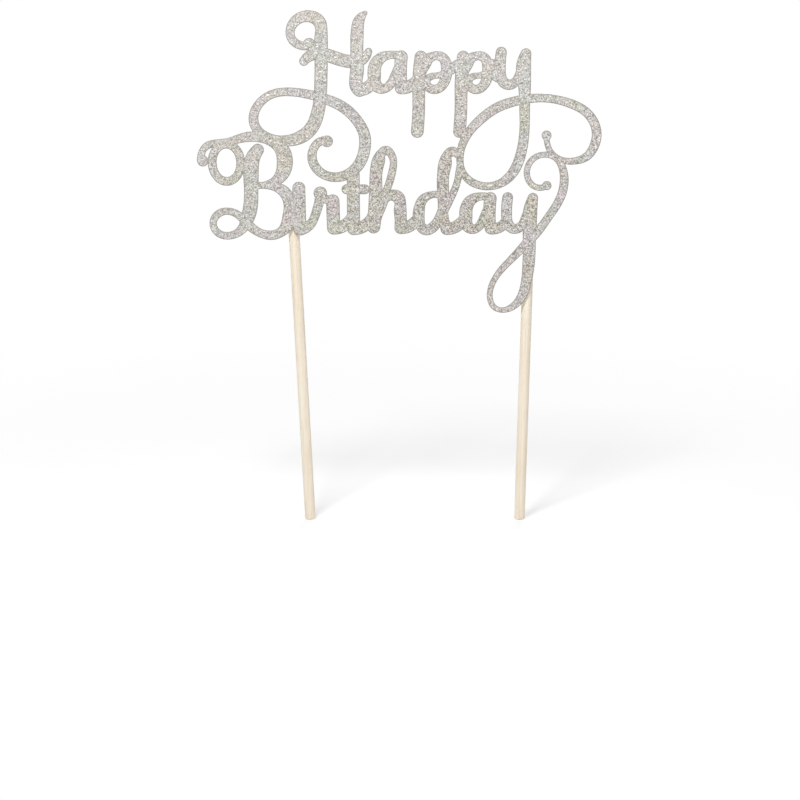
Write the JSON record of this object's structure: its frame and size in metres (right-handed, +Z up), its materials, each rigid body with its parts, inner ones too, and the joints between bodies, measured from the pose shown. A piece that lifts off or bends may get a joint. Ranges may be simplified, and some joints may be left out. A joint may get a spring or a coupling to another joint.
{
  "type": "cake topper",
  "caption": "Cake topper: a die-cut birthday greeting in flowing script from silver glitter card, glued to round wooden sticks that push into a cake.",
  "frame": {"origin": "midway between the sticks, on their axes, at the height where they enter the top of the cake", "axes": "+X along the words in reading order, +Z up, the glittered face looks towards -Y"},
  "size_m": [0.1465, 0.0048, 0.1911],
  "materials": {
    "glitter_card": "silver glitter on the front, plain white card at the back and along the cut edges",
    "birch": "bare, sanded pale birch",
    "hot_glue": "cloudy, smooth hot-melt glue"
  },
  "bodies": {
    "root": {"glitter_card": "glitter_card", "left_stick": "birch", "right_stick": "birch", "left_glue_bead": "hot_glue", "right_glue_bead": "hot_glue"}
  },
  "joints": []
}
